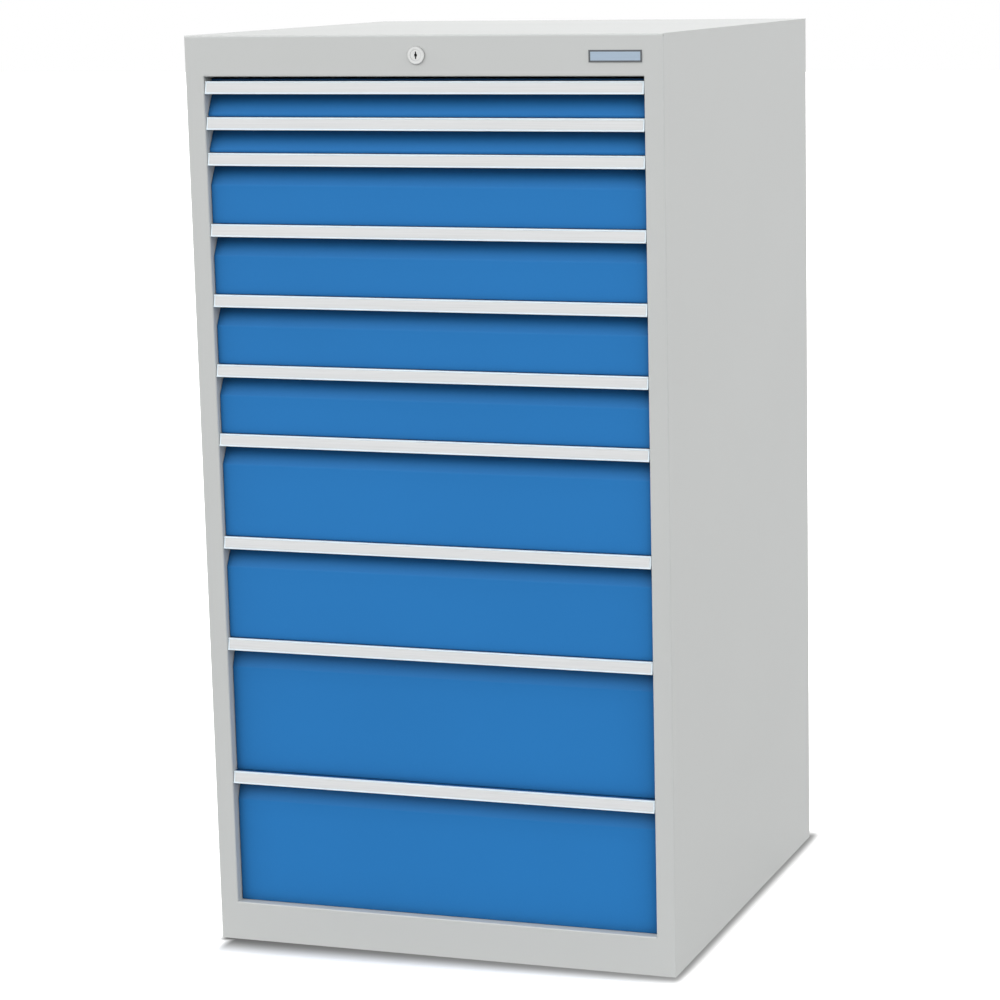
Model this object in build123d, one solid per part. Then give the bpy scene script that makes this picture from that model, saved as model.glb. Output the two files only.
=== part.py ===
from build123d import *
import math
import os

# Floor-standing steel cabinet with ten full-width drawers on telescopic slides and a central lock.
# Millimetres. The origin is at the middle of the base, +Z is up and the drawers open towards -Y.
# Left and right are as seen from the front.

# Driving dimensions
WIDTH = 705.0
DEPTH = 736.0
FRONT_HEIGHTS = [50, 50, 100, 100, 100, 100, 150, 150, 200, 200]
GRID_BOTTOM = 56.0
TOP_GAP = 6.0
TOP_RAIL = 57.0
STILE = 28.0

# Casing
BODY_SHEET = 1.5
BODY_BEND = 2.5
TOP_BEND = 3.0
EDGE_BEND = 2.0
RETURN = 30.0
BACK_FLANGE = 22.0
TOP_LIP = 4.0
TOP_RAIL_RETURN = 24.0
TOP_RAIL_HEM = 12.0
SILL_RISE = 1.0
SILL_RETURN = 28.0
BASE_RAIL_WIDTH = 40.0
BASE_RAIL_SHEET = 2.5
FLOOR_HOLE_R = 5.5
FLOOR_HOLE_X = 331.0
FLOOR_HOLE_Y = 300.0

# Slotted uprights
UPRIGHT_SHEET = 2.0
UPRIGHT_WIDTH = 40.0
SLOT_PITCH = 50.0
SLOT_RISE = 25.0
SLOT_WIDTH = 5.0
SLOT_HEIGHT = 12.0

# Slides, measured from the grid line under each drawer
SLIDE_RISE = 8.0
SLIDE_HEIGHT = 35.0
SLIDE_SHEET = 1.4
SLIDE_LIP = 4.0
MEMBER_LENGTH = 600.0
CABINET_MEMBER_LENGTH = 686.0
SLIDE_FRONT_SETBACK = 34.0
BALL_GAP = 3.2
MIDDLE_WEB_GAP = 1.8
CAGE_WIDTH = 4.6
CAGE_LENGTH = 292.0
CAGE_CLEARANCE = 0.4
HOOK_WIDTH = 4.0
HOOK_NECK = 8.0
HOOK_DROP = 5.0
HOOK_SHEET = 2.0

# Drawer boxes
BOX_SHEET = 1.2
BOX_HALF_WIDTH = 308.0
BOX_INNER_HALF = 300.0
BOX_INNER_DEPTH = 600.0
BOX_RISE = 6.0
BOX_TOP_DROP = 8.0
INNER_LEAF_GAP = 2.0
REAR_LIP = 6.0

# Drawer fronts, with setbacks measured from the casing's front plane
FRONT_SHEET = 1.5
FRONT_SIDE_GAP = 1.0
FRONT_GAP = 0.4
FRONT_SILL_GAP = 0.6
FRONT_SETBACK = 9.0
TALL_FRONT = 200
TALL_FRONT_SETBACK = 14.5
RECESS_SETBACK = 24.0
FRONT_REAR_SETBACK = 31.5
RECESS_SLOPE_HEIGHT = 27.0
FRONT_LEAST_FACE = 4.0
SLOPE_BEND = 5.0
SLOPE_BELOW_GRIP = 0.4

# Grip strips
GRIP_HEIGHT = 17.6
GRIP_TOP_DROP = 0.4
GRIP_TOP_SETBACK = 3.0
GRIP_WALL = 2.0
GRIP_LIP = 3.4
LABEL_MARGIN = 2.2
LABEL_DEPTH = 0.9
BEAD_BEVEL = 0.6

# Lock
LOCK_X = -2.5
LOCK_Z = 1291.0
LOCK_FACE_R = 12.5
LOCK_BODY_R = 11.0
LOCK_PROUD = 3.0
LOCK_BODY_LENGTH = 23.0
PLUG_R = 8.0
PLUG_SINK = 0.4
COLLAR_R = 10.0
COLLAR_THICKNESS = 3.0
RUNNING_GAP = 0.05
KEYHOLE_WIDTH = 2.0
KEYHOLE_HEIGHT = 10.0
KEYHOLE_EYE_R = 2.2
KEYHOLE_DEPTH = 14.0
NUT_ACROSS_FLATS = 28.0
NUT_THICKNESS = 4.0
SHAFT_R = 4.0
SHAFT_END_Y = 290.0
CRANK_RADIUS = 10.0
CRANK_THICKNESS = 4.0
CRANK_PIN_R = 2.0
CRANK_SWING = 90.0
BAR_Y = 300.0
BAR_THICKNESS = 3.0
BAR_HALF_WIDTH = 15.0
BAR_BOTTOM = 76.0
BAR_HEAD = 8.0
PIN_CLEARANCE = 0.45
FINGER_HALF_WIDTH = 8.0
FINGER_FRONT_Y = 280.0
FINGER_SHEET = 5.0
FINGER_LOW = 28.0
FINGER_HIGH = 43.0
STRIKER_HALF_WIDTH = 12.0
STRIKER_SHEET = 2.0
STRIKER_RISE = 10.0
STRIKER_TOP = 22.0
STRIKER_BACK_Y = 288.0
GUIDE_HEIGHTS = [130.0, 660.0, 1254.0]
GUIDE_SHEET = 3.0
GUIDE_HALF_WIDTH = 26.0
GUIDE_FLANGE = 22.0
GUIDE_NOSE = 8.0
GUIDE_CLEARANCE = 0.4
RIVET_HEAD_R = 4.0
RIVET_HEAD = 1.6
RIVET_X = 17.0
BRACKET_Y = 262.0
BRACKET_HALF_WIDTH = 16.0
BRACKET_FLANGE = 20.0
BRACKET_DROP = 16.0

# Nameplate, left bare
PLATE_WIDTH = 75.5
PLATE_HEIGHT = 16.5
PLATE_THICKNESS = 1.0
PLATE_RIM = 1.2
PLATE_SINK = 0.4
PLATE_END_GAP = 1.0
PLATE_MIDDLE_Z = 1289.0

# Worked out from the sizes above
HALF = WIDTH / 2
FRONT = -DEPTH / 2
BACK = DEPTH / 2
OPENING_HALF = HALF - STILE
GRID_TOP = GRID_BOTTOM + sum(FRONT_HEIGHTS)
HEIGHT = GRID_TOP + TOP_GAP + TOP_RAIL
SILL = GRID_BOTTOM + SILL_RISE
WALL_TOP = HEIGHT - BODY_SHEET
BACK_PANEL_Y = BACK - 2 * BODY_SHEET
INNER_WALL = HALF - BODY_SHEET
BOX_FRONT_Y = FRONT + FRONT_REAR_SETBACK
BOX_INNER_FRONT_Y = BOX_FRONT_Y + BOX_SHEET
BOX_INNER_REAR_Y = BOX_INNER_FRONT_Y + BOX_INNER_DEPTH
BOX_REAR_Y = BOX_INNER_REAR_Y + BOX_SHEET
FRONT_HALF_WIDTH = OPENING_HALF - FRONT_SIDE_GAP
SLIDE_FRONT_Y = FRONT + SLIDE_FRONT_SETBACK
FRONT_UPRIGHT_Y = FRONT + RETURN
REAR_UPRIGHT_Y = BACK_PANEL_Y - UPRIGHT_WIDTH
PLUG_END_Y = FRONT + LOCK_BODY_LENGTH + COLLAR_THICKNESS


def block(x, y, z):
    """A box between two corners, each axis given as a (low, high) pair."""
    size = [high - low for low, high in (x, y, z)]
    middle = [(low + high) / 2 for low, high in (x, y, z)]
    return Pos(*middle) * Box(*size)


def folded(points, thickness, side, radius=None):
    """The section of a folded sheet whose outer face follows the points.

    The radius is one for all bends, or one for each, where 0 leaves a bend sharp.
    """
    path = FilletPolyline(*points, radius=radius) if radius else Polyline(*points)
    return make_face(offset(path, amount=thickness, side=side, kind=Kind.INTERSECTION))


def along_x(section, x0, x1):
    """Extrudes a section drawn as (y, z) from x0 to x1."""
    return extrude(Plane.YZ.offset(x0) * section, amount=x1 - x0)


def along_y(section, y0, y1):
    """Extrudes a section drawn as (x, z) from y0 to y1."""
    return extrude(Plane.XZ.offset(-y0) * section, amount=y0 - y1)


def along_z(section, z0, z1):
    """Extrudes a section drawn as (x, y) from z0 to z1."""
    return extrude(Plane.XY.offset(z0) * section, amount=z1 - z0)


def rod(x, z, radius, y0, y1):
    """A round bar along Y."""
    return along_y(Pos(x, z) * Circle(radius), y0, y1)


def polygon(points):
    """A filled outline with sharp corners."""
    return make_face(Polyline(*points, close=True))


def left(part):
    """The left-hand copy of a right-hand piece."""
    return mirror(part, about=Plane.YZ)


def save(name, *parts):
    """Writes one node, whose pieces stay separate solids."""
    solids = [solid for part in parts for solid in part.solids()]
    node = solids[0] if len(solids) == 1 else Compound(solids)
    export_step(node, f"parts/{name}.step")


def side_wall():
    """Right-hand wall: its front edge folds into the stile and a return, its rear edge into a flange.

    Beside the top rail and the sill the stile's inner bend is welded full and ground flush.
    """
    outline = [
        (OPENING_HALF, FRONT + RETURN),
        (OPENING_HALF, FRONT),
        (HALF, FRONT),
        (HALF, BACK),
        (HALF - BACK_FLANGE, BACK),
    ]
    wall = along_z(folded(outline, BODY_SHEET, Side.LEFT, BODY_BEND), 0, WALL_TOP)
    for heights in ((0, SILL), (HEIGHT - TOP_RAIL, WALL_TOP)):
        wall += block((OPENING_HALF, OPENING_HALF + BODY_BEND), (FRONT, FRONT + BODY_BEND), heights)
    lip_notch = block((OPENING_HALF - 1, HALF + 1), (FRONT - 1, FRONT + TOP_BEND), (HEIGHT - TOP_LIP, HEIGHT))
    return wall - lip_notch


def top_panel():
    """Top sheet with a bent front edge that runs down between the stiles as the top rail."""
    edge = [(BACK, HEIGHT), (FRONT, HEIGHT), (FRONT, HEIGHT - TOP_LIP)]
    rail = [
        (FRONT, HEIGHT - TOP_LIP),
        (FRONT, HEIGHT - TOP_RAIL),
        (FRONT + TOP_RAIL_RETURN, HEIGHT - TOP_RAIL),
        (FRONT + TOP_RAIL_RETURN, HEIGHT - TOP_RAIL + TOP_RAIL_HEM),
    ]
    panel = along_x(folded(edge, BODY_SHEET, Side.LEFT, TOP_BEND), -HALF, HALF)
    panel += along_x(folded(rail, BODY_SHEET, Side.LEFT, [EDGE_BEND, 0]), -OPENING_HALF, OPENING_HALF)
    front_corners = Pos(0, BACK) * RectangleRounded(WIDTH, 2 * DEPTH, BODY_BEND)
    panel &= along_z(front_corners, 0, HEIGHT + 1)
    return panel - rod(LOCK_X, LOCK_Z, LOCK_BODY_R + RUNNING_GAP, FRONT - 1, FRONT + 2 * BODY_SHEET)


def back_panel():
    half = INNER_WALL - BODY_BEND
    return block((-half, half), (BACK_PANEL_Y, BACK - BODY_SHEET), (0, WALL_TOP))


def floor_panel():
    """Floor sheet that widens behind the stiles and folds down in front as the sill."""
    sill = [
        (BACK_PANEL_Y, SILL),
        (FRONT, SILL),
        (FRONT, 0),
        (FRONT + SILL_RETURN, 0),
        (FRONT + SILL_RETURN, TOP_RAIL_HEM),
    ]
    panel = along_x(folded(sill, BODY_SHEET, Side.LEFT, [EDGE_BEND, 0, 0]), -OPENING_HALF, OPENING_HALF)
    wing = block((OPENING_HALF, INNER_WALL), (FRONT_UPRIGHT_Y, BACK_PANEL_Y), (SILL - BODY_SHEET, SILL))
    return panel + wing + left(wing)


def base_rail():
    """Right-hand channel under the floor panel, with two holes for floor bolts."""
    inner_x = INNER_WALL - BASE_RAIL_WIDTH
    top = SILL - BODY_SHEET
    outline = [(inner_x, top), (INNER_WALL, top), (INNER_WALL, 0), (inner_x, 0)]
    rail = along_y(folded(outline, BASE_RAIL_SHEET, Side.RIGHT), FRONT_UPRIGHT_Y, BACK_PANEL_Y)
    for y in (-FLOOR_HOLE_Y, FLOOR_HOLE_Y):
        rail -= Pos(FLOOR_HOLE_X, y, 0) * Cylinder(FLOOR_HOLE_R, 3 * BASE_RAIL_SHEET)
    return rail


def upright(y0):
    """Right-hand slotted channel between floor and top rail, open towards the side wall."""
    outline = [
        (INNER_WALL, y0),
        (OPENING_HALF, y0),
        (OPENING_HALF, y0 + UPRIGHT_WIDTH),
        (INNER_WALL, y0 + UPRIGHT_WIDTH),
    ]
    channel = along_z(folded(outline, UPRIGHT_SHEET, Side.RIGHT), SILL, HEIGHT - TOP_RAIL)
    slots = [
        Pos(OPENING_HALF, y0 + UPRIGHT_WIDTH / 2, GRID_BOTTOM + SLOT_RISE + SLOT_PITCH * i)
        * Box(4 * UPRIGHT_SHEET, SLOT_WIDTH, SLOT_HEIGHT)
        for i in range(int(sum(FRONT_HEIGHTS) / SLOT_PITCH))
    ]
    return channel - slots


def cabinet_member(base):
    """Right-hand outer member of a slide, with a hook in a slot of each upright."""
    low = base + SLIDE_RISE
    high = low + SLIDE_HEIGHT
    inner_x = BOX_HALF_WIDTH + BALL_GAP + 1
    outline = [
        (inner_x, low + SLIDE_LIP),
        (inner_x, low),
        (OPENING_HALF, low),
        (OPENING_HALF, high),
        (inner_x, high),
        (inner_x, high - SLIDE_LIP),
    ]
    member = along_y(
        folded(outline, SLIDE_SHEET, Side.LEFT), SLIDE_FRONT_Y, SLIDE_FRONT_Y + CABINET_MEMBER_LENGTH
    )
    slot_bottom = base + SLOT_RISE - SLOT_HEIGHT / 2
    behind = OPENING_HALF + UPRIGHT_SHEET
    hook = polygon(
        [
            (OPENING_HALF - SLIDE_SHEET, slot_bottom),
            (behind, slot_bottom),
            (behind, slot_bottom - HOOK_DROP),
            (behind + HOOK_SHEET, slot_bottom - HOOK_DROP),
            (behind + HOOK_SHEET, slot_bottom + HOOK_NECK),
            (OPENING_HALF - SLIDE_SHEET, slot_bottom + HOOK_NECK),
        ]
    )
    for y0 in (FRONT_UPRIGHT_Y, REAR_UPRIGHT_Y):
        middle = y0 + UPRIGHT_WIDTH / 2
        member += along_y(hook, middle - HOOK_WIDTH / 2, middle + HOOK_WIDTH / 2)
    return member


def middle_member(base):
    """Right-hand middle member of a slide, nested in the outer one a ball row apart, with its cages."""
    low = base + SLIDE_RISE + SLIDE_SHEET + BALL_GAP
    high = base + SLIDE_RISE + SLIDE_HEIGHT - SLIDE_SHEET - BALL_GAP
    inner_x = BOX_HALF_WIDTH + BALL_GAP
    outer_x = OPENING_HALF - SLIDE_SHEET - MIDDLE_WEB_GAP
    outline = [
        (inner_x, low + SLIDE_LIP),
        (inner_x, low),
        (outer_x, low),
        (outer_x, high),
        (inner_x, high),
        (inner_x, high - SLIDE_LIP),
    ]
    section = folded(outline, SLIDE_SHEET, Side.LEFT)
    end_y = SLIDE_FRONT_Y + MEMBER_LENGTH
    pieces = [along_y(section, SLIDE_FRONT_Y, end_y)]
    outer_cage_x = (outer_x - CAGE_WIDTH - SLIDE_SHEET, outer_x - SLIDE_SHEET)
    inner_cage_start = inner_x + SLIDE_SHEET + CAGE_CLEARANCE
    inner_cage_x = (inner_cage_start, inner_cage_start + CAGE_WIDTH)
    rear_half = (end_y - CAGE_LENGTH, end_y)
    front_half = (SLIDE_FRONT_Y, SLIDE_FRONT_Y + CAGE_LENGTH)
    pieces.append(block(outer_cage_x, rear_half, (low - BALL_GAP, low)))
    pieces.append(block(outer_cage_x, rear_half, (high, high + BALL_GAP)))
    pieces.append(block(inner_cage_x, front_half, (low + SLIDE_SHEET, low + SLIDE_SHEET + BALL_GAP)))
    pieces.append(block(inner_cage_x, front_half, (high - SLIDE_SHEET - BALL_GAP, high - SLIDE_SHEET)))
    return pieces


def drawer_member(base):
    """Right-hand inner member of a slide, welded to the drawer's side."""
    low = base + SLIDE_RISE + 2 * (SLIDE_SHEET + BALL_GAP)
    high = base + SLIDE_RISE + SLIDE_HEIGHT - 2 * (SLIDE_SHEET + BALL_GAP)
    outer_x = OPENING_HALF - 2 * SLIDE_SHEET - 2 * MIDDLE_WEB_GAP
    outline = [(outer_x, low), (BOX_HALF_WIDTH, low), (BOX_HALF_WIDTH, high), (outer_x, high)]
    return along_y(folded(outline, SLIDE_SHEET, Side.RIGHT), SLIDE_FRONT_Y, SLIDE_FRONT_Y + MEMBER_LENGTH)


def drawer_box(base, height):
    """Sheet box with double side walls and a lip along the top of its rear wall."""
    low = base + BOX_RISE
    top = base + height - BOX_TOP_DROP
    side = [
        (BOX_HALF_WIDTH, low),
        (BOX_HALF_WIDTH, top),
        (BOX_INNER_HALF, top),
        (BOX_INNER_HALF, low + BOX_SHEET + INNER_LEAF_GAP),
    ]
    side_leaf = along_y(folded(side, BOX_SHEET, Side.LEFT), BOX_INNER_FRONT_Y, BOX_INNER_REAR_Y)
    rear = [(BOX_INNER_REAR_Y, low), (BOX_INNER_REAR_Y, top), (BOX_REAR_Y + REAR_LIP, top)]
    across = (-BOX_HALF_WIDTH, BOX_HALF_WIDTH)
    box = block(across, (BOX_FRONT_Y, BOX_REAR_Y), (low, low + BOX_SHEET))
    box += block(across, (BOX_FRONT_Y, BOX_INNER_FRONT_Y), (low, top))
    box += along_x(folded(rear, BOX_SHEET, Side.RIGHT), *across)
    box += side_leaf + left(side_leaf)
    return box


def striker(base):
    """Angle at the drawer's rear whose upright lip the lock bar's finger blocks."""
    outline = [
        (BOX_REAR_Y, base + STRIKER_RISE),
        (STRIKER_BACK_Y, base + STRIKER_RISE),
        (STRIKER_BACK_Y, base + STRIKER_TOP),
    ]
    across = (LOCK_X - STRIKER_HALF_WIDTH, LOCK_X + STRIKER_HALF_WIDTH)
    return along_x(folded(outline, STRIKER_SHEET, Side.LEFT), *across)


def drawer_front(base, height):
    """Folded pan whose upper face slopes back as the finger recess and then folds forward over the grip.

    The two tall fronts lie further back than the others, as in the photo.
    """
    setback = TALL_FRONT_SETBACK if height >= TALL_FRONT else FRONT_SETBACK
    low = max(base + FRONT_GAP, SILL + FRONT_SILL_GAP)
    grip_ledge = base + height - GRIP_TOP_DROP - FRONT_SHEET
    recess_top = base + height - GRIP_TOP_DROP - GRIP_HEIGHT - SLOPE_BELOW_GRIP
    slope_start = max(recess_top - RECESS_SLOPE_HEIGHT, low + FRONT_LEAST_FACE)
    rear_y = FRONT + FRONT_REAR_SETBACK
    skin = [
        (rear_y, low),
        (FRONT + setback, low),
        (FRONT + setback, slope_start),
        (FRONT + RECESS_SETBACK, recess_top),
        (FRONT + RECESS_SETBACK, grip_ledge),
    ]
    rear = Polyline(skin[-1], (rear_y, grip_ledge), skin[0])
    outline = FilletPolyline(*skin, radius=[0, SLOPE_BEND, 0]) + rear
    cap = along_x(make_face(outline), FRONT_HALF_WIDTH - FRONT_SHEET, FRONT_HALF_WIDTH)
    skin.append((FRONT + GRIP_TOP_SETBACK + GRIP_LIP, grip_ledge))
    sheet = folded(skin, FRONT_SHEET, Side.RIGHT, [0, SLOPE_BEND, 0, 0])
    pan = along_x(sheet, -FRONT_HALF_WIDTH, FRONT_HALF_WIDTH)
    return pan + cap + left(cap)


def drawer_grip(base, height):
    """Full-width grip under the front's top fold: its lip has a label channel between two bevelled beads."""
    top = base + height - GRIP_TOP_DROP
    low = top - GRIP_HEIGHT
    ledge = top - FRONT_SHEET
    lip_in = GRIP_LIP * math.hypot(1, GRIP_TOP_SETBACK / GRIP_HEIGHT)

    def face_y(z, depth=0.0):
        return FRONT + GRIP_TOP_SETBACK * (z - low) / GRIP_HEIGHT + depth

    back_y = FRONT + RECESS_SETBACK
    label_low = low + LABEL_MARGIN
    label_high = top - LABEL_MARGIN
    section = polygon(
        [
            (back_y, ledge),
            (face_y(top, GRIP_LIP), ledge),
            (face_y(top, GRIP_LIP), top),
            (face_y(top), top),
            (face_y(label_high), label_high),
            (face_y(label_high, LABEL_DEPTH), label_high),
            (face_y(label_low, LABEL_DEPTH), label_low),
            (face_y(label_low), label_low),
            (face_y(low), low),
            (face_y(low, lip_in), low),
            (face_y(ledge - GRIP_WALL, lip_in), ledge - GRIP_WALL),
            (back_y - GRIP_WALL, ledge - GRIP_WALL),
            (back_y - GRIP_WALL, low),
            (back_y, low),
        ]
    )
    bead_corners = [v for v in section.vertices() if v.X < face_y(v.Y, LABEL_DEPTH / 2)]
    return along_x(chamfer(bead_corners, BEAD_BEVEL), -FRONT_HALF_WIDTH, FRONT_HALF_WIDTH)


def lock_housing():
    """Cylinder body through the top rail, with a bevelled ring in front."""
    face_y = FRONT - LOCK_PROUD
    ring = rod(LOCK_X, LOCK_Z, LOCK_FACE_R, face_y, FRONT)
    ring = chamfer(ring.edges().group_by(Axis.Y)[0], 1.0)
    body = rod(LOCK_X, LOCK_Z, LOCK_BODY_R, FRONT, FRONT + LOCK_BODY_LENGTH)
    bore = rod(LOCK_X, LOCK_Z, PLUG_R + RUNNING_GAP, face_y - 1, FRONT + LOCK_BODY_LENGTH + 1)
    return ring + body - bore


def lock_nut():
    start = FRONT + BODY_SHEET
    hexagon = Pos(LOCK_X, LOCK_Z) * RegularPolygon(NUT_ACROSS_FLATS / 2, 6, major_radius=False)
    nut = along_y(hexagon, start, start + NUT_THICKNESS)
    return nut - rod(LOCK_X, LOCK_Z, LOCK_BODY_R + RUNNING_GAP, start - 1, start + NUT_THICKNESS + 1)


def lock_plug():
    """Turning plug with its keyhole upright, and a rear collar that keeps it in the housing."""
    face_y = FRONT - LOCK_PROUD + PLUG_SINK
    collar_y = FRONT + LOCK_BODY_LENGTH + RUNNING_GAP
    plug = rod(LOCK_X, LOCK_Z, PLUG_R, face_y, collar_y)
    plug += rod(LOCK_X, LOCK_Z, COLLAR_R, collar_y, PLUG_END_Y)
    slot = (KEYHOLE_WIDTH / 2, KEYHOLE_HEIGHT / 2)
    plug -= block(
        (LOCK_X - slot[0], LOCK_X + slot[0]),
        (face_y, face_y + KEYHOLE_DEPTH),
        (LOCK_Z - slot[1], LOCK_Z + slot[1]),
    )
    return plug - rod(LOCK_X, LOCK_Z, KEYHOLE_EYE_R, face_y, face_y + KEYHOLE_DEPTH)


def lock_shaft():
    return rod(LOCK_X, LOCK_Z, SHAFT_R, PLUG_END_Y, SHAFT_END_Y)


def pin_place(angle):
    """The crank pin's x and z, with the crank at an angle above level."""
    turn = math.radians(angle)
    return LOCK_X + CRANK_RADIUS * math.cos(turn), LOCK_Z + CRANK_RADIUS * math.sin(turn)


def lock_crank():
    """Crank at the shaft's rear end. Its pin starts half the swing above level and ends half below."""
    pin_x, pin_z = pin_place(CRANK_SWING / 2)
    y0, y1 = SHAFT_END_Y, SHAFT_END_Y + CRANK_THICKNESS
    web = make_hull(
        [
            *(Pos(LOCK_X, LOCK_Z) * Circle(SHAFT_R + 2)).edges(),
            *(Pos(pin_x, pin_z) * Circle(CRANK_PIN_R + 2)).edges(),
        ]
    )
    return along_y(web, y0, y1) + rod(pin_x, pin_z, CRANK_PIN_R, y1, BAR_Y + BAR_THICKNESS + 2)


def lock_bar():
    """Sliding bar, with a level slot in its head for the crank's pin."""
    pin_x, pin_z = pin_place(CRANK_SWING / 2)
    far_x = LOCK_X + CRANK_RADIUS
    slot_r = CRANK_PIN_R + PIN_CLEARANCE
    bar = block(
        (LOCK_X - BAR_HALF_WIDTH, LOCK_X + BAR_HALF_WIDTH),
        (BAR_Y, BAR_Y + BAR_THICKNESS),
        (BAR_BOTTOM, pin_z + slot_r + BAR_HEAD),
    )
    slot = Pos((pin_x + far_x) / 2, pin_z) * SlotCenterToCenter(far_x - pin_x, 2 * slot_r)
    return bar - along_y(slot, BAR_Y - 1, BAR_Y + BAR_THICKNESS + 1)


def bar_finger(base):
    """Hook on the lock bar: the arm reaches over the drawer's striker and the tooth drops in front of it."""
    hook = [
        (BAR_Y, base + FINGER_HIGH),
        (FINGER_FRONT_Y, base + FINGER_HIGH),
        (FINGER_FRONT_Y, base + FINGER_LOW),
    ]
    across = (LOCK_X - FINGER_HALF_WIDTH, LOCK_X + FINGER_HALF_WIDTH)
    return along_x(folded(hook, FINGER_SHEET, Side.LEFT), *across)


def bar_guide(z):
    """Shelf bracket on the back panel, with a slot that the bar slides in."""
    shelf = [(BAR_Y - GUIDE_NOSE, z), (BACK_PANEL_Y, z), (BACK_PANEL_Y, z + GUIDE_FLANGE)]
    across = (LOCK_X - GUIDE_HALF_WIDTH, LOCK_X + GUIDE_HALF_WIDTH)
    bracket = along_x(folded(shelf, GUIDE_SHEET, Side.LEFT), *across)
    return bracket - block(
        (LOCK_X - BAR_HALF_WIDTH - GUIDE_CLEARANCE, LOCK_X + BAR_HALF_WIDTH + GUIDE_CLEARANCE),
        (BAR_Y - GUIDE_CLEARANCE, BAR_Y + BAR_THICKNESS + GUIDE_CLEARANCE),
        (z - 1, z + GUIDE_SHEET + 1),
    )


def guide_rivets(z):
    """Two rivet heads on a guide's flange."""
    y0 = BACK_PANEL_Y - GUIDE_SHEET
    height = z + (GUIDE_SHEET + GUIDE_FLANGE) / 2
    return [rod(LOCK_X + x, height, RIVET_HEAD_R, y0 - RIVET_HEAD, y0) for x in (-RIVET_X, RIVET_X)]


def shaft_bracket():
    """Bracket under the top panel that carries the shaft near its rear end."""
    outline = [
        (BRACKET_Y, LOCK_Z - BRACKET_DROP),
        (BRACKET_Y, WALL_TOP),
        (BRACKET_Y + BRACKET_FLANGE, WALL_TOP),
    ]
    across = (LOCK_X - BRACKET_HALF_WIDTH, LOCK_X + BRACKET_HALF_WIDTH)
    bracket = along_x(folded(outline, GUIDE_SHEET, Side.RIGHT), *across)
    return bracket - rod(LOCK_X, LOCK_Z, SHAFT_R + RUNNING_GAP, BRACKET_Y - 1, BRACKET_Y + GUIDE_SHEET + 1)


def nameplate():
    """Bare plate on the top rail, with a raised rim."""
    x1 = FRONT_HALF_WIDTH - PLATE_END_GAP
    x0 = x1 - PLATE_WIDTH
    z0 = PLATE_MIDDLE_Z - PLATE_HEIGHT / 2
    z1 = PLATE_MIDDLE_Z + PLATE_HEIGHT / 2
    plate = block((x0, x1), (FRONT - PLATE_THICKNESS, FRONT), (z0, z1))
    return plate - block(
        (x0 + PLATE_RIM, x1 - PLATE_RIM),
        (FRONT - PLATE_THICKNESS, FRONT - PLATE_THICKNESS + PLATE_SINK),
        (z0 + PLATE_RIM, z1 - PLATE_RIM),
    )


os.makedirs("parts", exist_ok=True)
bases = [GRID_TOP - sum(FRONT_HEIGHTS[: i + 1]) for i in range(len(FRONT_HEIGHTS))]

wall = side_wall()
save("side_wall_right", wall)
save("side_wall_left", left(wall))
save("top_panel", top_panel())
save("back_panel", back_panel())
save("floor_panel", floor_panel())
save("base_rails", base_rail(), left(base_rail()))

uprights = [upright(FRONT_UPRIGHT_Y), upright(REAR_UPRIGHT_Y)]
save("uprights_right", *uprights)
save("uprights_left", *[left(part) for part in uprights])

cabinet_members = [cabinet_member(base) for base in bases]
save("cabinet_slides_right", *cabinet_members)
save("cabinet_slides_left", *[left(part) for part in cabinet_members])

for number, (base, height) in enumerate(zip(bases, FRONT_HEIGHTS), start=1):
    runner = drawer_member(base)
    middle = middle_member(base)
    save(f"drawer_{number:02d}_box", drawer_box(base, height), striker(base), runner, left(runner))
    save(f"drawer_{number:02d}_front", drawer_front(base, height))
    save(f"drawer_{number:02d}_grip", drawer_grip(base, height))
    save(f"slide_middle_{number:02d}", *middle, *[left(part) for part in middle])

save("lock_housing", lock_housing())
save("lock_nut", lock_nut())
save("lock_plug", lock_plug())
save("lock_shaft", lock_shaft())
save("lock_crank", lock_crank())
save("lock_bar", lock_bar(), *[bar_finger(base) for base in bases])
save("lock_bar_guides", *[bar_guide(z) for z in GUIDE_HEIGHTS])
save("guide_rivets", *[head for z in GUIDE_HEIGHTS for head in guide_rivets(z)])
save("shaft_bracket", shaft_bracket())
save("nameplate", nameplate())
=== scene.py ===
# %% [markdown]
# A steel drawer cabinet, dressed on its frame.
# The frame holds every piece of the real cabinet at its real size: folded sheet casing, ten drawers on
# telescopic slides, grips and a central lock. This script adds what sheet metal looks like: powder coat,
# satin aluminium, zinc, strips in the grips, ribs in the drawers and the balls of the slides.

# %% Load the frame
import math

import bpy
from mathutils import Matrix, Vector


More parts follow.
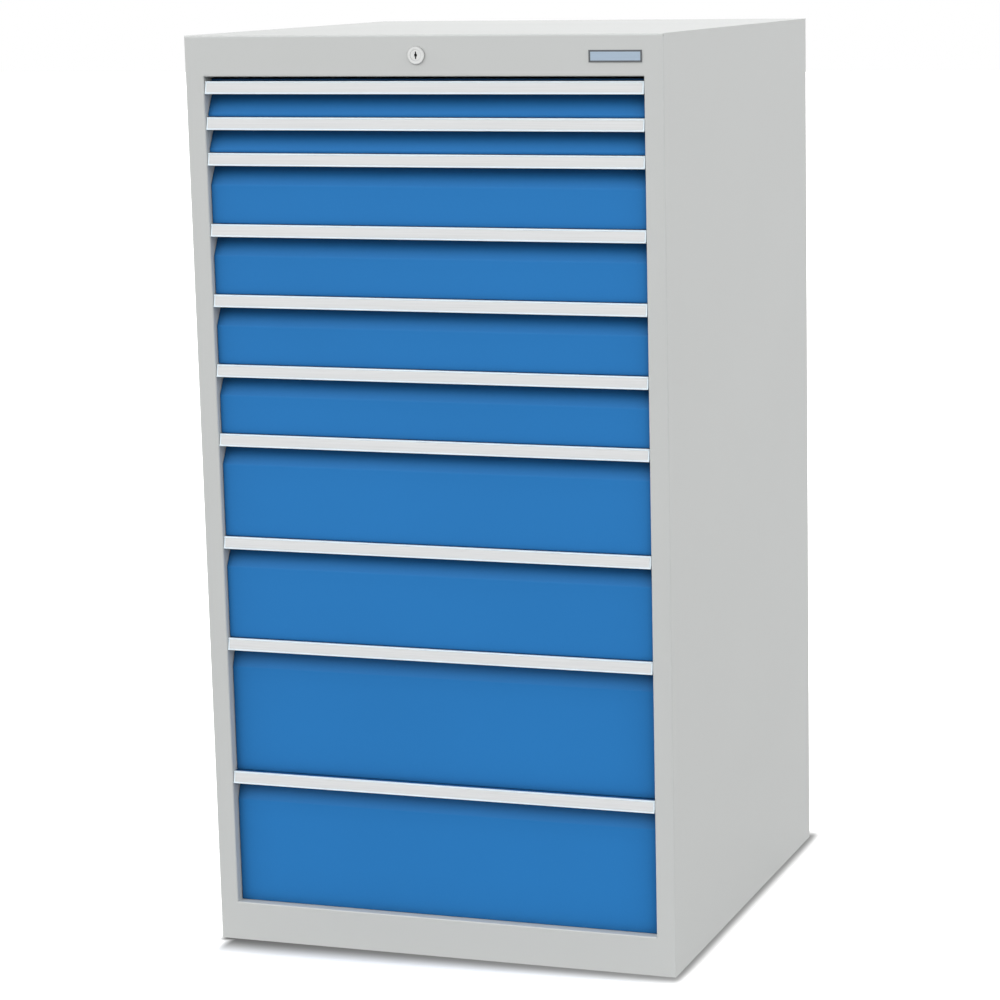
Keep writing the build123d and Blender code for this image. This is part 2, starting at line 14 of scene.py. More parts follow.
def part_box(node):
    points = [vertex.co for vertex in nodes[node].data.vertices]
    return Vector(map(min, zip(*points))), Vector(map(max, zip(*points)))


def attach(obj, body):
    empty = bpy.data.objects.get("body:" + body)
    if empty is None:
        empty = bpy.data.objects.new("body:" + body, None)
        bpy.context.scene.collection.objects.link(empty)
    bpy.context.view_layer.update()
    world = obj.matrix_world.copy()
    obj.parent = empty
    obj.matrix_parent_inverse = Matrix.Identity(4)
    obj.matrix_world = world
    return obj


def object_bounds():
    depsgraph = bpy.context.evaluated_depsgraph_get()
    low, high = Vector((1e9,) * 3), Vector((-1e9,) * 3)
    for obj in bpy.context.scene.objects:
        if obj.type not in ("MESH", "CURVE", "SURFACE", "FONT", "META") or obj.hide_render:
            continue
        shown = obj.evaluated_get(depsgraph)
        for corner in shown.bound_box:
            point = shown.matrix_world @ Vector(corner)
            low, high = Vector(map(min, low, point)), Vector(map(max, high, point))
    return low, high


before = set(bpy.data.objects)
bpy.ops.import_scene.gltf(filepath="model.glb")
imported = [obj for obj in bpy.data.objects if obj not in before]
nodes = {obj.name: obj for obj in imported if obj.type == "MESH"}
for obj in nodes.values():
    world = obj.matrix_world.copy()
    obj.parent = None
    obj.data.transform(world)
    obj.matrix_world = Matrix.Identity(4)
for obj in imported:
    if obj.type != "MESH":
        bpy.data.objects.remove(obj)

MM = 0.001
cad_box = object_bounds()
DRAWERS = [f"{number:02d}" for number in range(1, 11)]
print("loaded", len(nodes), "nodes; box", [round(v, 4) for corner in cad_box for v in corner])

# %% [markdown]
# The camera. The photograph was taken from the front right, a little above the cabinet's top, with a long
# lens from about four and a half metres. Its place was worked out from the cabinet's own corners, so the
# picture's edges and the model's edges lie on each other. The optical centre isn't in the picture's middle,
# as in a crop, and a small lens shift repeats that.

# %% Place the camera
CAMERA_PLACE = Vector((1.6247, -4.3876, 1.4354))
CAMERA_YAW = 17.764
CAMERA_PITCH = 11.206
CAMERA_ROLL = -0.824
FOCAL_PIXELS = 3118.3
PICTURE_PIXELS = 1000.0
SENSOR = 36.0
OPTICAL_CENTRE = (659.6, 562.0)


def camera_turn(yaw, pitch, roll):
    """Columns are the camera's right, up and backward directions."""
    forward = Vector((-math.sin(yaw) * math.cos(pitch), math.cos(yaw) * math.cos(pitch), -math.sin(pitch)))
    level = Vector((math.cos(yaw), math.sin(yaw), 0.0))
    upright = level.cross(forward)
    right = level * math.cos(roll) + upright * math.sin(roll)
    up = upright * math.cos(roll) - level * math.sin(roll)
    return Matrix((right, up, -forward)).transposed()


camera_data = bpy.data.cameras.new("camera")
camera_data.sensor_width = SENSOR
camera_data.lens = SENSOR * FOCAL_PIXELS / PICTURE_PIXELS
camera_data.shift_x = (PICTURE_PIXELS / 2 - OPTICAL_CENTRE[0]) / PICTURE_PIXELS
camera_data.shift_y = (OPTICAL_CENTRE[1] - PICTURE_PIXELS / 2) / PICTURE_PIXELS
camera = bpy.data.objects.new("camera", camera_data)
turn = camera_turn(*(math.radians(a) for a in (CAMERA_YAW, CAMERA_PITCH, CAMERA_ROLL)))
camera.matrix_world = Matrix.Translation(CAMERA_PLACE) @ turn.to_4x4()
bpy.context.scene.collection.objects.link(camera)
bpy.context.scene.camera = camera
print("lens", round(camera_data.lens, 1), "mm, shift", camera_data.shift_x, camera_data.shift_y)

# %% [markdown]
# Node trees are built by small helpers. One makes a node, sets its values and plugs what feeds it. The others
# wrap the nodes that come again and again, so each material below reads as a list of steps.

# %% Helpers for node trees
SHARE = (0.0, 1.0)


def add_node(tree, kind, inputs=None, **settings):
    """Makes a node, sets its properties, and fills each input with a value or a link from a socket."""
    node = tree.nodes.new(kind)
    for name, value in settings.items():
        setattr(node, name, value)
    for key, value in (inputs or {}).items():
        socket = node.inputs[key]
        if isinstance(value, bpy.types.NodeSocket):
            tree.links.new(value, socket)
        else:
            socket.default_value = value
    return node


def add_sockets(tree, direction, sockets):
    """Adds named sockets to a node group: name, type and, if there is one, the default."""
    for name, kind, *default in sockets:
        socket = tree.interface.new_socket(name, in_out=direction, socket_type=kind)
        if default:
            socket.default_value = default[0]


def calc(tree, operation, first, second=0.0):
    """One Math node, whose result feeds the next."""
    return add_node(tree, "ShaderNodeMath", {0: first, 1: second}, operation=operation).outputs[0]


def map_range(tree, value, source, target, smooth=False):
    """Maps a value from one (low, high) pair to another, clamped at both ends."""
    kind = "SMOOTHSTEP" if smooth else "LINEAR"
    inputs = {"Value": value, "From Min": source[0], "From Max": source[1],
              "To Min": target[0], "To Max": target[1]}
    return add_node(tree, "ShaderNodeMapRange", inputs, interpolation_type=kind).outputs[0]


def toned(tree, colour, tone):
    """A colour made lighter or darker by a tone."""
    return add_node(tree, "ShaderNodeVectorMath", {0: colour, "Scale": tone}, operation="SCALE").outputs[0]


def place_on(tree, coordinates="Object"):
    """The X, Y and Z of the shaded point."""
    point = add_node(tree, "ShaderNodeTexCoord").outputs[coordinates]
    return add_node(tree, "ShaderNodeSeparateXYZ", {0: point}).outputs


# %% [markdown]
# The floor. The cabinet stands on a white floor with nothing behind it. Light Path tells the rays apart: to
# the camera the floor is a bright white, in mirrors a duller one, and the light it sends back up to the
# cabinet stays low, so that the shade under the grips and the sill stays deep. The photograph has a soft
# dark shadow along the cabinet's foot, about 10 cm deep in front at the left and half that at the right, and
# 2 cm wide at the sides. The light is too even to cast it, so it is a painted shadow: the floor's own colour
# darkens there, by the distance from the cabinet's foot, for the camera alone.

# %% Floor
FLOOR_SIZE = 60.0
FLOOR_SEEN_WHITE = 1.6
FLOOR_MIRRORED_WHITE = 0.7
FLOOR_BOUNCE = 0.18
FLOOR_NEAR_GAIN = 1.6
FLOOR_NEAR_REACH = 500 * MM
BAND_DARKEST_LEFT = 0.1
BAND_DARKEST_RIGHT = 0.2
BAND_REACH_NEAR = 22 * MM
BAND_REACH_FRONT_LEFT = 105 * MM
BAND_REACH_FRONT_RIGHT = 50 * MM
BAND_CORNER_INSET = 26 * MM
(foot_left, foot_front, _), (foot_right, foot_back, _) = cad_box


def outside(tree, place, low, high):
    """How far a coordinate lies outside a stretch, and 0 within it."""
    beyond = calc(tree, "MAXIMUM", calc(tree, "SUBTRACT", low, place), calc(tree, "SUBTRACT", place, high))
    return calc(tree, "MAXIMUM", beyond, 0.0)


def foot_distance(tree, inset, reach_across, reach_along):
    """Distance from the cabinet's foot, less an inset at its left end, as a share of two reaches.

    One reach is across the cabinet's width and the other along its depth.
    """
    place = place_on(tree)
    across = calc(tree, "DIVIDE", outside(tree, place["X"], foot_left + inset, foot_right), reach_across)
    along = calc(tree, "DIVIDE", outside(tree, place["Y"], foot_front, foot_back), reach_along)
    squares = [calc(tree, "MULTIPLY", part, part) for part in (across, along)]
    return calc(tree, "SQRT", calc(tree, "ADD", *squares))


def painted_foot_shadow(tree):
    """A painted shadow: 1 on the open floor, and dark along the cabinet's foot."""
    place = place_on(tree)
    sides = (foot_left, foot_right)
    darkest = map_range(tree, place["X"], sides, (BAND_DARKEST_LEFT, BAND_DARKEST_RIGHT))
    reach = map_range(tree, place["X"], sides, (BAND_REACH_FRONT_LEFT, BAND_REACH_FRONT_RIGHT))
    near = foot_distance(tree, BAND_REACH_NEAR / 2, BAND_REACH_NEAR, BAND_REACH_NEAR)
    front = foot_distance(tree, BAND_CORNER_INSET, BAND_CORNER_INSET, reach)
    # Painted shadow: the floor's colour darkens with nearness to the cabinet's foot.
    nearest = calc(tree, "MINIMUM", near, front)
    return map_range(tree, nearest, SHARE, (darkest, 1.0), smooth=True)


def floor_material():
    """A matt floor whose tone depends on the kind of ray that meets it."""
    material = bpy.data.materials.new("white studio floor")
    material.use_nodes = True
    tree = material.node_tree
    tree.nodes.clear()
    path = add_node(tree, "ShaderNodeLightPath").outputs
    mirrored = calc(tree, "MAXIMUM", path["Is Glossy Ray"], path["Is Transmission Ray"])
    away = foot_distance(tree, 0.0, FLOOR_NEAR_REACH, FLOOR_NEAR_REACH)
    bounce = map_range(tree, away, SHARE, (FLOOR_BOUNCE * FLOOR_NEAR_GAIN, FLOOR_BOUNCE))
    level = map_range(tree, mirrored, SHARE, (bounce, FLOOR_MIRRORED_WHITE))
    seen = calc(tree, "MULTIPLY", painted_foot_shadow(tree), FLOOR_SEEN_WHITE)
    level = map_range(tree, path["Is Camera Ray"], SHARE, (level, seen))
    paint = add_node(tree, "ShaderNodeBsdfDiffuse", {"Color": level})
    add_node(tree, "ShaderNodeOutputMaterial", {"Surface": paint.outputs[0]})
    return material


floor_mesh = bpy.data.meshes.new("floor")
reach = FLOOR_SIZE / 2
corners = [(-reach, -reach, 0), (reach, -reach, 0), (reach, reach, 0), (-reach, reach, 0)]
floor_mesh.from_pydata(corners, [], [(0, 1, 2, 3)])
floor_mesh.materials.append(floor_material())
floor = bpy.data.objects.new("floor", floor_mesh)
bpy.context.scene.collection.objects.link(floor)
print("floor", FLOOR_SIZE, "m wide, dark band", BAND_REACH_FRONT_LEFT, "m deep in front")

# %% [markdown]
# The light. The photograph's light comes evenly from all round, as in a light tent: the front and the side
# are equally bright, the top half as bright again, and it is dark only where a grip or the casing's edge
# covers part of the tent. A white world does just that. Its walls are brighter than its roof, so the fold
# under a grip, which looks up, gets less light and keeps its deep blue. The world also lights a pulled-out
# drawer, the back and the far floor like all the rest, which lamps near the cabinet wouldn't.
# Two weak suns with a wide disc give the folds a little direction. All in all a vertical face gets a level
# of about 1, at which a colour renders as it is written.

# %% World and suns
WALL_LEVEL = 1.84
ROOF_LEVEL = 0.6
MIRRORED_WALL_LEVEL = 1.0
MIRRORED_ROOF_LEVEL = 0.05
MIRRORED_ROOF_FROM = 0.7
SUN_WIDTH = 30.0
SUNS = {"key, left front": (-30.0, 40.0, 0.1), "back, low": (190.0, 30.0, 0.08)}    # azimuth, height, level
FACES = {"front": (0, -1, 0), "right": (1, 0, 0), "top": (0, 0, 1), "back": (0, 1, 0)}


def white_world():
    """A tent that lights the scene by how high a ray goes, and is plain white to the camera."""
    world = bpy.data.worlds.new("white studio")
    world.use_nodes = True
    tree = world.node_tree
    tree.nodes.clear()
    path = add_node(tree, "ShaderNodeLightPath").outputs
    rise = place_on(tree, "Generated")["Z"]
    height = calc(tree, "MULTIPLY", rise, rise)
    lighting = map_range(tree, height, SHARE, (WALL_LEVEL, ROOF_LEVEL))
    mirrored_levels = (MIRRORED_WALL_LEVEL, MIRRORED_ROOF_LEVEL)
    mirrored = map_range(tree, height, (0.0, MIRRORED_ROOF_FROM), mirrored_levels)
    strength = map_range(tree, path["Is Glossy Ray"], SHARE, (lighting, mirrored))
    white = calc(tree, "MAXIMUM", path["Is Camera Ray"], path["Is Transmission Ray"])
    strength = map_range(tree, white, SHARE, (strength, 1.0))
    sky = add_node(tree, "ShaderNodeBackground", {"Color": (1, 1, 1, 1), "Strength": strength})
    add_node(tree, "ShaderNodeOutputWorld", {"Surface": sky.outputs[0]})
    return world


def soft_sun(name, azimuth, elevation, level):
    """A sun from an azimuth, 0 in front and 90 at the right, and a height above the floor, in degrees."""
    data = bpy.data.lights.new(name, "SUN")
    data.angle = math.radians(SUN_WIDTH)
    data.energy = level * math.pi
    turn, rise = math.radians(azimuth), math.radians(elevation)
    towards = Vector((math.sin(turn) * math.cos(rise), -math.cos(turn) * math.cos(rise), math.sin(rise)))
    lamp = bpy.data.objects.new(name, data)
    lamp.rotation_euler = towards.to_track_quat("Z", "Y").to_euler()
    bpy.context.scene.collection.objects.link(lamp)
    return towards * level


bpy.context.scene.world = white_world()
suns = [soft_sun(name, *values) for name, values in SUNS.items()]
bpy.context.scene.view_settings.view_transform = "Standard"
for face, normal in FACES.items():
    print("suns on the", face, round(sum(max(0.0, sun.dot(Vector(normal))) for sun in suns), 2))

# %% [markdown]
# Powder coat is dry paint melted onto steel. Close up it has a very fine orange-peel skin, and over a whole
# panel its tone drifts a little. Both come from one node group, so that the grey casing, the drawers and the
# blue fronts get the same skin at their own colour. Scales are in waves per metre.

# %% Node group: powder coat
NOISE_SPAN = (0.3, 0.7)
CLOUD_SCALE = 3.2
CLOUD_DETAIL = 2.0
PEEL_SCALE = 900.0
PEEL_DETAIL = 2.0
PEEL_ROUGHNESS = 0.03
SKIN_OUTPUTS = [
    ("Colour", "NodeSocketColor"), ("Roughness", "NodeSocketFloat"), ("Normal", "NodeSocketVector")]


def noise(tree, place, scale, detail):
    """Noise over a place, at a scale and with some finer detail."""
    inputs = {"Vector": place, "Scale": scale, "Detail": detail}
    return add_node(tree, "ShaderNodeTexNoise", inputs).outputs["Fac"]


def put_out_skin(tree, given, colour, grain, spread, depth):
    """Ends a group: the grain changes the roughness by a spread and lifts the surface by a depth."""
    change = map_range(tree, grain, NOISE_SPAN, (-spread, spread))
    rough = calc(tree, "ADD", change, given["Roughness"])
    bump = add_node(tree, "ShaderNodeBump", {"Strength": 1.0, "Distance": depth, "Height": grain})
    add_node(tree, "NodeGroupOutput", {"Colour": colour, "Roughness": rough, "Normal": bump.outputs[0]})


def powder_coat_group():
    """Tone that drifts like clouds, and a fine peel."""
    tree = bpy.data.node_groups.new("powder coat skin", "ShaderNodeTree")
    add_sockets(tree, "INPUT", [
        ("Colour", "NodeSocketColor", (0.8, 0.8, 0.8, 1)), ("Drift", "NodeSocketFloat", 0.02),
        ("Roughness", "NodeSocketFloat", 0.45), ("Peel Depth", "NodeSocketFloat", 0.02 * MM)])
    add_sockets(tree, "OUTPUT", SKIN_OUTPUTS)
    given = add_node(tree, "NodeGroupInput").outputs
    place = add_node(tree, "ShaderNodeTexCoord").outputs["Object"]
    cloud = noise(tree, place, CLOUD_SCALE, CLOUD_DETAIL)
    tones = (calc(tree, "SUBTRACT", 1.0, given["Drift"]), calc(tree, "ADD", 1.0, given["Drift"]))
    colour = toned(tree, given["Colour"], map_range(tree, cloud, NOISE_SPAN, tones))
    peel = noise(tree, place, PEEL_SCALE, PEEL_DETAIL)
    put_out_skin(tree, given, colour, peel, PEEL_ROUGHNESS, given["Peel Depth"])
    return tree


# %% [markdown]
# Rolled, drawn and extruded metal carries fine lines along the way it was made. One group draws them: a
# noise that is stretched along one axis changes the roughness, the tone and the height a little.

# %% Node group: drawn metal
LINE_DETAIL = 3.0
LINE_TONES = (0.95, 1.04)
LINE_ROUGHNESS = 0.06
LENGTHWISE, CROSSWISE = 8.0, 900.0
ALONG_X = (LENGTHWISE, CROSSWISE, CROSSWISE)
ALONG_Y = (CROSSWISE, LENGTHWISE, CROSSWISE)
ALONG_Z = (CROSSWISE, CROSSWISE, LENGTHWISE)


def drawn_metal_group():
    """Fine lines in tone, roughness and height."""
    tree = bpy.data.node_groups.new("drawn metal lines", "ShaderNodeTree")
    add_sockets(tree, "INPUT", [
        ("Colour", "NodeSocketColor", (0.7, 0.7, 0.7, 1)), ("Stretch", "NodeSocketVector", ALONG_X),
        ("Line Depth", "NodeSocketFloat", 0.01 * MM), ("Roughness", "NodeSocketFloat", 0.35)])
    add_sockets(tree, "OUTPUT", SKIN_OUTPUTS)
    given = add_node(tree, "NodeGroupInput").outputs
    place = add_node(tree, "ShaderNodeTexCoord").outputs["Object"]
    drawn = add_node(tree, "ShaderNodeVectorMath", {0: place, 1: given["Stretch"]}, operation="MULTIPLY")
    lines = noise(tree, drawn.outputs[0], 1.0, LINE_DETAIL)
    colour = toned(tree, given["Colour"], map_range(tree, lines, NOISE_SPAN, LINE_TONES))
    put_out_skin(tree, given, colour, lines, LINE_ROUGHNESS, given["Line Depth"])
    return tree


POWDER = powder_coat_group()
DRAWN = drawn_metal_group()
print("node groups:", POWDER.name, "and", DRAWN.name)

# %% [markdown]
# The finishes. Each is a Principled BSDF fed by one of the two groups. Paint is a dielectric with little
# gloss, the fronts with the least. Zinc and the slides' balls are metallic. The pale grips, their strips,
# the plate and the lock look almost white in the even light, so they are metallic in part.
# In the photograph the folds of the fronts under the grips, and the lock, are deeper in tone than an even
# light makes them. On these an Ambient Occlusion node finds the hollows and paints shade into the colour
# there.

# %% Materials
HOLLOW_REACH = 60 * MM
HOLLOW_SAMPLES = 8
HOLLOW_COVER = (0.3, 0.97)
HOLLOW_SHADE_TONE = 0.3


def finish_material(name, group, values, surface, shade_in_hollows=False):
    """A Principled material fed by a group, with its own plain surface values."""
    material = bpy.data.materials.new(name)
    material.use_nodes = True
    tree = material.node_tree
    tree.nodes.clear()
    skin = add_node(tree, "ShaderNodeGroup", node_tree=group)
    for key, value in values.items():
        skin.inputs[key].default_value = value
    colour = skin.outputs["Colour"]
    # Painted shade: the colour is darkened where the Ambient Occlusion node finds a hollow.
    if shade_in_hollows:
        cover = add_node(tree, "ShaderNodeAmbientOcclusion", {"Distance": HOLLOW_REACH},
                         samples=HOLLOW_SAMPLES)
        colour = toned(tree, colour, map_range(tree, cover.outputs["AO"], HOLLOW_COVER, (HOLLOW_SHADE_TONE, 1.0)))
    feeds = {"Base Color": colour, "Roughness": skin.outputs["Roughness"], "Normal": skin.outputs["Normal"]}
    shader = add_node(tree, "ShaderNodeBsdfPrincipled", feeds | surface)
    add_node(tree, "ShaderNodeOutputMaterial", {"Surface": shader.outputs[0]})
    return material


GREY_PAINT = (0.57, 0.583, 0.576, 1)
DRAWER_PAINT = (0.52, 0.53, 0.53, 1)
BLUE_PAINT = (0.022, 0.19, 0.505, 1)
ALUMINIUM = (0.84, 0.94, 1.0, 1)
ZINC = (0.55, 0.56, 0.57, 1)
NICKEL = (0.76, 0.77, 0.76, 1)
PAINT_GLOSS = {"Specular IOR Level": 0.25}
FRONT_GLOSS = {"Specular IOR Level": 0.12}

casing_paint = finish_material(
    "light grey powder coat", POWDER, {"Colour": GREY_PAINT, "Drift": 0.008}, PAINT_GLOSS)
drawer_paint = finish_material(
    "drawer grey powder coat", POWDER, {"Colour": DRAWER_PAINT, "Drift": 0.01}, PAINT_GLOSS)
front_paint = finish_material(
    "blue powder coat", POWDER, {"Colour": BLUE_PAINT, "Drift": 0.02}, FRONT_GLOSS, shade_in_hollows=True)
grip_metal = finish_material(
    "satin aluminium, drawn along X", DRAWN, {"Colour": ALUMINIUM, "Stretch": ALONG_X, "Roughness": 0.5},
    {"Metallic": 0.2})
zinc_along_y = finish_material(
    "zinc-plated steel, rolled along Y", DRAWN, {"Colour": ZINC, "Stretch": ALONG_Y}, {"Metallic": 0.9})
zinc_along_z = finish_material(
    "zinc-plated steel, rolled along Z", DRAWN, {"Colour": ZINC, "Stretch": ALONG_Z}, {"Metallic": 0.9})
lock_metal = finish_material(
    "satin nickel", DRAWN, {"Colour": NICKEL, "Stretch": ALONG_X, "Roughness": 0.34}, {"Metallic": 0.5},
    shade_in_hollows=True)
print("finishes:", len(bpy.data.materials), "materials so far")

# %% [markdown]
# The plate at the right of the top rail is left bare. On the photograph it is silvery with a thin dark edge.
# The edge is partly the plate's own dark rim and partly painted shade: it is made wider than the rim, the
# same all round, to stand in for the shade at the plate's lower and right edges. It is painted by where a
# point lies on the plate, which is measured from the node's own box.

# %% Plate with a dark edge
PLATE_RIM_AND_SHADE_WIDTH = 2.4 * MM
PLATE_SILVER = (0.41, 0.51, 0.62, 1)
PLATE_DARK = (0.14, 0.15, 0.16, 1)


def plate_material():
    """Silver in the plate's field, and dark within a small distance from its four edges."""
    material = finish_material(
        "bare plate, dark edge", DRAWN, {"Stretch": ALONG_X, "Roughness": 0.4}, {"Metallic": 0.5})
    tree = material.node_tree
    low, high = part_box("nameplate")
    place = place_on(tree)
    nearest = []
    for axis, name in ((0, "X"), (2, "Z")):
        from_low = calc(tree, "SUBTRACT", place[name], low[axis])
        from_high = calc(tree, "SUBTRACT", high[axis], place[name])
        nearest.append(calc(tree, "MINIMUM", from_low, from_high))
    # The dark edge is partly the plate's rim and partly painted shade.
    field = calc(tree, "GREATER_THAN", calc(tree, "MINIMUM", *nearest), PLATE_RIM_AND_SHADE_WIDTH)
    colour = add_node(tree, "ShaderNodeMix", {"Factor": field, "A": PLATE_DARK, "B": PLATE_SILVER},
                      data_type="RGBA")
    skin = next(node for node in tree.nodes if node.type == "GROUP")
    tree.links.new(colour.outputs["Result"], skin.inputs["Colour"])
    return material


plate_metal = plate_material()
print("plate edge", PLATE_RIM_AND_SHADE_WIDTH, "m wide")

# %% [markdown]
# Every node takes the finish of the real piece. A node's mesh stays as it is and only its material changes.

# %% Finish the nodes
FINISH = {
    "side_wall_left": casing_paint, "side_wall_right": casing_paint, "top_panel": casing_paint,
    "back_panel": casing_paint, "floor_panel": casing_paint, "base_rails": casing_paint,
    "uprights_left": zinc_along_z, "uprights_right": zinc_along_z,
    "cabinet_slides_left": zinc_along_y, "cabinet_slides_right": zinc_along_y,
    "lock_bar": zinc_along_z, "lock_bar_guides": zinc_along_z, "guide_rivets": zinc_along_z,
    "shaft_bracket": zinc_along_z, "lock_crank": zinc_along_z, "lock_shaft": zinc_along_y,
    "lock_housing": lock_metal, "lock_nut": lock_metal, "lock_plug": lock_metal, "nameplate": plate_metal,
}
for number in DRAWERS:
    FINISH[f"drawer_{number}_box"] = drawer_paint
    FINISH[f"drawer_{number}_front"] = front_paint
    FINISH[f"drawer_{number}_grip"] = grip_metal
    FINISH[f"slide_middle_{number}"] = zinc_along_y
for name, material in FINISH.items():
    nodes[name].data.materials.clear()
    nodes[name].data.materials.append(material)
print("finished", len(FINISH), "nodes")

# %% [markdown]
# Each grip has a channel for labels between its two beads. No label is to be seen in the photograph, so one
# plain matt strip closes every channel. The strip is a thin section, slightly crowned like a spring, drawn
# along the grip. It is made point by point, because its outline leans with the grip's lip and stays just
# under the beads.

# %% Strips in the label channels
GRIP_DEPTH = 24.0 * MM
GRIP_LEAN = 3.0 * MM
CHANNEL_MARGIN = 2.2 * MM
CHANNEL_DEPTH = 0.9 * MM
STRIP_THICKNESS = 0.4 * MM
STRIP_CROWN = 0.25 * MM
STRIP_EDGE_GAP = 0.2 * MM
STRIP_END_GAP = 2.0 * MM
STRIP_LINE_DEPTH = 0.004 * MM
STRIP_GREY = (0.7, 0.71, 0.715, 1)
CROWN_STEPS = 8


def new_piece(name, points, faces, material):
    """A mesh object at zero, with its place in its mesh."""
    mesh = bpy.data.meshes.new(name)
    mesh.from_pydata(points, [], faces)
    mesh.materials.append(material)
    piece = bpy.data.objects.new(name, mesh)
    bpy.context.scene.collection.objects.link(piece)
    return piece


def drawn_along_x(name, section, ends, material):
    """A closed piece with the same (y, z) section, from one x to another.

    The section is listed upwards along its front and down again along its back, so the faces look out.
    """
    points = [(x, y, z) for x in ends for y, z in section]
    count = len(section)
    faces = [tuple(range(count))[::-1], tuple(range(count, 2 * count))]
    faces += [(i, (i + 1) % count, count + (i + 1) % count, count + i) for i in range(count)]
    return new_piece(name, points, faces, material)


def label_strip(number):
    """The strip in one grip: a crowned front, and a flat back at the strip's thickness behind its edges."""
    (x0, _, z0), (x1, lip_back, z1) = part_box(f"drawer_{number}_grip")
    lip_y = lip_back - GRIP_DEPTH
    low, high = z0 + CHANNEL_MARGIN + STRIP_EDGE_GAP, z1 - CHANNEL_MARGIN - STRIP_EDGE_GAP
    section = []
    for step in range(CROWN_STEPS + 1):
        share = step / CROWN_STEPS
        z = low + share * (high - low)
        y = lip_y + GRIP_LEAN * (z - z0) / (z1 - z0) + CHANNEL_DEPTH - STRIP_THICKNESS
        section.append((y - STRIP_CROWN * 4 * share * (1 - share), z))
    section += [(section[-1][0] + STRIP_THICKNESS, high), (section[0][0] + STRIP_THICKNESS, low)]
    ends = (x0 + STRIP_END_GAP, x1 - STRIP_END_GAP)
    return drawn_along_x(f"label_strip_{number}", section, ends, strip_metal)


strip_metal = finish_material(
    "matt strip, drawn along X", DRAWN,
    {"Colour": STRIP_GREY, "Stretch": ALONG_X, "Roughness": 0.6, "Line Depth": STRIP_LINE_DEPTH},
    {"Metallic": 0.1})
for number in DRAWERS:
    strip = label_strip(number)
    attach(strip, f"drawer_{number}")
print("label strips:", len(DRAWERS), "with", len(strip.data.polygons), "faces each")

# %% [markdown]
# Over the topmost grip the photograph shows a thin dark blue line in the gap below the rail. It is taken for
# a blue edge that stands up behind the grip, as a folded sheet would leave it. The other drawers hide theirs.
# The piece is the end of that fold: a low wall of the front's own sheet with a rounded top.

# %% Edge over the topmost grip
EDGE_HEIGHT = 2.8 * MM
EDGE_SHEET = 1.5 * MM
EDGE_BEHIND_LIP = 20.0 * MM
EDGE_SIDE_GAP = 2.0 * MM
ROUND_STEPS = 6

(x0, _, _), (x1, lip_back, lip_top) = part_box("drawer_01_grip")
front_y = lip_back - GRIP_DEPTH + EDGE_BEHIND_LIP
foot, half = lip_top - EDGE_SHEET, EDGE_SHEET / 2
crown = [(front_y + half - half * math.cos(math.pi * step / ROUND_STEPS),
          lip_top + EDGE_HEIGHT - half + half * math.sin(math.pi * step / ROUND_STEPS))
         for step in range(ROUND_STEPS + 1)]
edge = drawn_along_x("front_edge_01", [(front_y, foot)] + crown + [(front_y + EDGE_SHEET, foot)],
                     (x0 + EDGE_SIDE_GAP, x1 - EDGE_SIDE_GAP), front_paint)
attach(edge, "drawer_01")
print("edge over the topmost grip up to z", round(lip_top + EDGE_HEIGHT, 4))

# %% [markdown]
# Two things come in long even rows: the upright ribs on the drawers' inner walls, between which a
# partition's edge stands, and the balls in the cages of the slides. One Geometry Nodes tree makes such rows.
# It is given the points where the rows start, sets a line on each of them and a rib or a ball on every point
# of the lines. The number in a row follows from its length and the spacing.

# %% Geometry Nodes: rows of one shape
ROW_INPUTS = [
    ("Row Starts", "NodeSocketGeometry"), ("Count", "NodeSocketInt"), ("Spacing", "NodeSocketFloat"),
    ("Size", "NodeSocketFloat"), ("Height", "NodeSocketFloat"), ("Material", "NodeSocketMaterial")]


def set_on(tree, points, instance):
    """Copies of one mesh on every point, made real."""
    copies = add_node(tree, "GeometryNodeInstanceOnPoints", {"Points": points, "Instance": instance})
    return add_node(tree, "GeometryNodeRealizeInstances", {"Geometry": copies.outputs[0]}).outputs[0]


def rows_tree(name, kind, sizes, **settings):
    """A tree that sets one primitive along a row from every point it is given.

    A size is a number, or the name of the tree's input that gives it.
    """
    tree = bpy.data.node_groups.new(name, "GeometryNodeTree")
    add_sockets(tree, "INPUT", ROW_INPUTS)
    add_sockets(tree, "OUTPUT", [("Geometry", "NodeSocketGeometry")])
    given = add_node(tree, "NodeGroupInput").outputs
    step = add_node(tree, "ShaderNodeCombineXYZ", {"Y": given["Spacing"]})
    line = add_node(tree, "GeometryNodeMeshLine", {"Count": given["Count"], "Offset": step.outputs[0]},
                    mode="OFFSET")
    places = set_on(tree, given["Row Starts"], line.outputs["Mesh"])
    inputs = {key: given[size] if isinstance(size, str) else size for key, size in sizes.items()}
    shape = add_node(tree, kind, inputs, **settings)
    rows = set_on(tree, places, shape.outputs["Mesh"])
    done = add_node(tree, "GeometryNodeSetMaterial", {"Geometry": rows, "Material": given["Material"]})
    add_node(tree, "NodeGroupOutput", {"Geometry": done.outputs[0]})
    return tree


def grown_rows(name, tree, starts, values):
    """A plain mesh object that the tree makes from the start points and these inputs."""
    seed = new_piece(name + "_seed", starts, [], None)
    modifier = seed.modifiers.new("grow", "NODES")
    modifier.node_group = tree
    sockets = {item.name: item.identifier for item in tree.interface.items_tree if item.in_out == "INPUT"}
    for key, value in values.items():
        modifier[sockets[key]] = value
    bpy.context.view_layer.update()
    mesh = bpy.data.meshes.new_from_object(seed.evaluated_get(bpy.context.evaluated_depsgraph_get()))
    mesh.name = name
    seed.modifiers.remove(modifier)
    bpy.data.objects.remove(seed)
    piece = bpy.data.objects.new(name, mesh)
    bpy.context.scene.collection.objects.link(piece)
    return piece


# %% [markdown]
# The ribs are thin upright rods, half sunk into the inner walls of a drawer, at an even spacing that a
# partition's edge fits between. They reach from just over the bottom's fold to just under the wall's top.

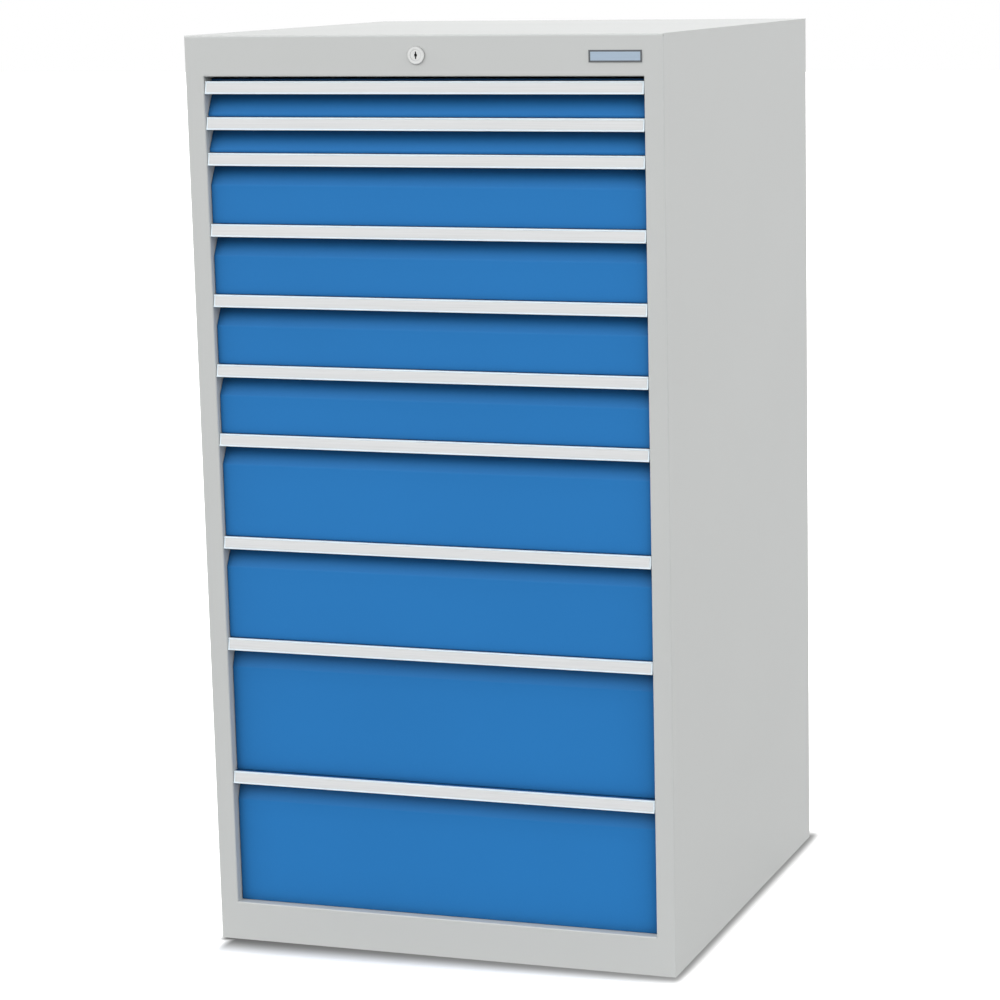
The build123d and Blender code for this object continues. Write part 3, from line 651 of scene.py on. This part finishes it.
# %% Ribs inside every drawer
RIB_SPACING = 12.5 * MM
RIB_RADIUS = 0.9 * MM
RIB_SIDES = 10
RIB_END_GAP = 3.0 * MM
RIB_ROW_START = 12.5 * MM
WALL_INNER_HALF = 300.0 * MM
WALL_FRONT_Y = -335.3 * MM
WALL_REAR_Y = 264.7 * MM
WALL_FOLD = 3.2 * MM

RIB_ROWS = rows_tree("rib rows", "GeometryNodeMeshCylinder",
                     {"Vertices": RIB_SIDES, "Radius": "Size", "Depth": "Height"}, fill_type="NGON")
rib_count = int((WALL_REAR_Y - WALL_FRONT_Y - 2 * RIB_ROW_START) / RIB_SPACING) + 1
for number in DRAWERS:
    low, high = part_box(f"drawer_{number}_box")
    bottom, top = low[2] + WALL_FOLD + RIB_END_GAP, high[2] - RIB_END_GAP
    starts = [(side * WALL_INNER_HALF, WALL_FRONT_Y + RIB_ROW_START, (bottom + top) / 2) for side in (-1, 1)]
    ribs = grown_rows(f"wall_ribs_{number}", RIB_ROWS, starts, {
        "Count": rib_count, "Spacing": RIB_SPACING, "Size": RIB_RADIUS, "Height": top - bottom,
        "Material": drawer_paint})
    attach(ribs, f"drawer_{number}")
print("ribs:", rib_count, "on each wall,", len(ribs.data.polygons), "faces a drawer")

# %% [markdown]
# A telescopic slide runs on two pairs of ball rows: one pair between the cabinet's member and the middle one,
# the other between the middle one and the drawer's. The frame has each cage as a plain strip. The balls stand
# out of it a little above and below, where they touch the races. They are polished steel.

# %% Balls in the cages
BALL_RADIUS = 1.85 * MM
BALL_SPACING = 9.0 * MM
BALL_SEGMENTS = 8
BALL_RINGS = 5
BALL_STEEL = (0.76, 0.77, 0.76, 1)
CAGE_LENGTH = 292.0 * MM
CAGE_END_GAP = 7.0 * MM
OUTER_CAGE = {"x": 317.6 * MM, "y": -26.0 * MM, "heights": (1.6 * MM, 30.6 * MM)}
INNER_CAGE = {"x": 315.3 * MM, "y": -334.0 * MM, "heights": (6.2 * MM, 26.0 * MM)}

ball_steel = finish_material(
    "polished balls", DRAWN, {"Colour": BALL_STEEL, "Stretch": ALONG_X, "Roughness": 0.2}, {"Metallic": 1.0})
BALL_ROWS = rows_tree("ball rows", "GeometryNodeMeshUVSphere",
                      {"Segments": BALL_SEGMENTS, "Rings": BALL_RINGS, "Radius": "Size"})
ball_count = int((CAGE_LENGTH - 2 * CAGE_END_GAP) / BALL_SPACING) + 1
for number in DRAWERS:
    low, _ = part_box(f"slide_middle_{number}")
    starts = [(side * cage["x"], cage["y"] + CAGE_END_GAP, low[2] + height)
              for cage in (OUTER_CAGE, INNER_CAGE) for height in cage["heights"] for side in (-1, 1)]
    balls = grown_rows(f"slide_balls_{number}", BALL_ROWS, starts, {
        "Count": ball_count, "Spacing": BALL_SPACING, "Size": BALL_RADIUS, "Material": ball_steel})
    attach(balls, f"middle_slides_{number}")
print("balls:", ball_count, "in each of", len(starts), "rows,", len(balls.data.polygons), "faces a drawer")
